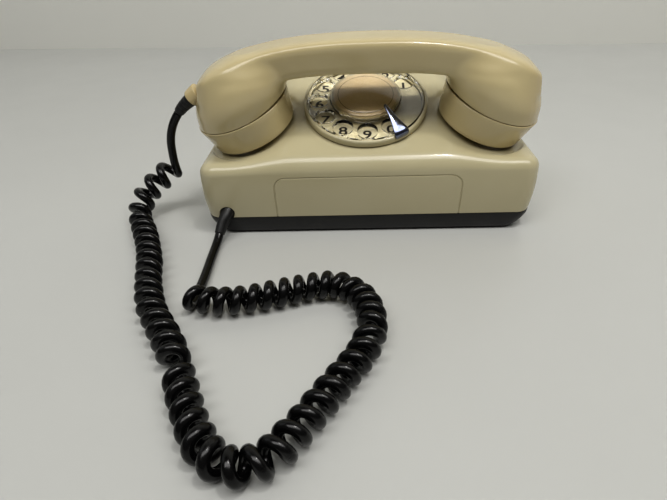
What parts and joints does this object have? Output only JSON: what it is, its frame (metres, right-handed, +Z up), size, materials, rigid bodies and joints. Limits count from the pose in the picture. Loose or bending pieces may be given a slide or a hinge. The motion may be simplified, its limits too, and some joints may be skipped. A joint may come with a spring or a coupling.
{
  "type": "rotary telephone",
  "caption": "Beige desk telephone with a clear rotary dial, chrome finger stop, black base, and a handset on a black curly cord lying over the dial.",
  "frame": {"origin": "middle of the footprint without the cord, on the table", "axes": "+Z up, +X to the right along the handset, the user at -Y"},
  "size_m": [0.2739, 0.2952, 0.1203],
  "materials": {
    "beige_plastic": "moulded, satin gloss, slightly yellowed",
    "aged_beige_plastic": "moulded, satin gloss, yellowed with age",
    "black_plastic": "moulded, low sheen",
    "cord_black": "extruded soft plastic, glossy",
    "ivory_plastic": "moulded, satin",
    "clear_acrylic": "clear, polished, scuffed",
    "amber_clear": "clear, aged to amber",
    "paper_card": "uncoated card",
    "chrome": "polished",
    "steel": "stamped and zinc plated",
    "brass": "plain",
    "copper_winding": "lacquered copper wire",
    "rubber": "plain",
    "board": "laminated paper board"
  },
  "bodies": {
    "base": {"housing": "beige_plastic", "dial_bezel": "beige_plastic", "base_tray": "black_plastic", "board_rail_1": "black_plastic", "board_rail_2": "black_plastic", "terminal_strip": "black_plastic", "base_strain_relief": "black_plastic", "handset_cord_lead": "cord_black", "handset_cord_coil": "cord_black", "base_cord_lead": "cord_black", "number_plate": "ivory_plastic", "finger_stop": "chrome", "dial_frame": "steel", "chassis_plate": "steel", "gong_post_1": "steel", "gong_post_2": "steel", "ringer_frame": "steel", "clapper_pivot": "steel", "capacitor": "steel", "hook_bracket": "steel", "base_screw_1": "steel", "base_screw_2": "steel", "gong_1": "brass", "gong_2": "brass", "pulse_contacts": "brass", "speed_governor": "brass", "hook_contacts": "brass", "ringer_coil": "copper_winding", "induction_coil": "copper_winding", "rubber_foot_1": "rubber", "rubber_foot_2": "rubber", "rubber_foot_3": "rubber", "rubber_foot_4": "rubber", "line_cord_inlet": "rubber", "network_board": "board"},
    "handset": {"handset_shell": "aged_beige_plastic", "transmitter_cap": "aged_beige_plastic", "receiver_cap": "aged_beige_plastic", "transmitter_capsule": "steel", "receiver_capsule": "steel", "handset_strain_relief": "black_plastic", "handset_cord_collar": "aged_beige_plastic"},
    "dial": {"finger_wheel": "clear_acrylic", "card_holder": "ivory_plastic", "number_card": "paper_card", "card_cover": "amber_clear", "dial_shaft": "steel", "dial_gear": "brass"},
    "left_plunger": {"plunger_left": "black_plastic"},
    "right_plunger": {"plunger_right": "black_plastic"},
    "lever": {"hook_lever": "steel"},
    "bell_clapper": {"clapper": "steel"},
    "volume_wheel": {"ringer_volume_wheel": "black_plastic"}
  },
  "joints": [
    {"name": "handset_lift", "type": "slide", "parent": "base", "child": "handset", "axis": [0, 0, 1], "range_m": [0, 0.12]},
    {"name": "dial_spin", "type": "hinge", "parent": "base", "child": "dial", "pos_m": [0, -0.007, 0.072], "axis": [0, -0.3907, 0.9205], "range_deg": [-335, 0], "stiffness_Nm_per_rad": 0.004, "springref_deg": 171.89},
    {"name": "left_plunger_press", "type": "slide", "parent": "base", "child": "left_plunger", "axis": [-0.3338, -0.212, 0.9185], "range_m": [-0.003, 0], "stiffness_N_per_m": 200, "springref_m": 0.004},
    {"name": "right_plunger_press", "type": "slide", "parent": "base", "child": "right_plunger", "axis": [0.3338, -0.212, 0.9185], "range_m": [-0.003, 0], "stiffness_N_per_m": 200, "springref_m": 0.004},
    {"name": "hook_lever_swing", "type": "hinge", "parent": "base", "child": "lever", "pos_m": [0, 0.024, 0.0356], "axis": [1, 0, 0], "range_deg": [0, 5]},
    {"name": "clapper_swing", "type": "hinge", "parent": "base", "child": "bell_clapper", "pos_m": [-0.056, -0.0215, 0.019], "axis": [0, 0, 1], "range_deg": [-2, 2], "stiffness_Nm_per_rad": 0.01},
    {"name": "ringer_volume_turn", "type": "hinge", "parent": "base", "child": "volume_wheel", "pos_m": [-0.024, -0.03, 0.003], "axis": [0, 0, 1], "range_deg": [-60, 60]}
  ],
  "couplings": [
    {"joint": "right_plunger_press", "follows": "left_plunger_press", "ratio": 1},
    {"joint": "hook_lever_swing", "follows": "left_plunger_press", "rad_per_m": -26.5}
  ]
}
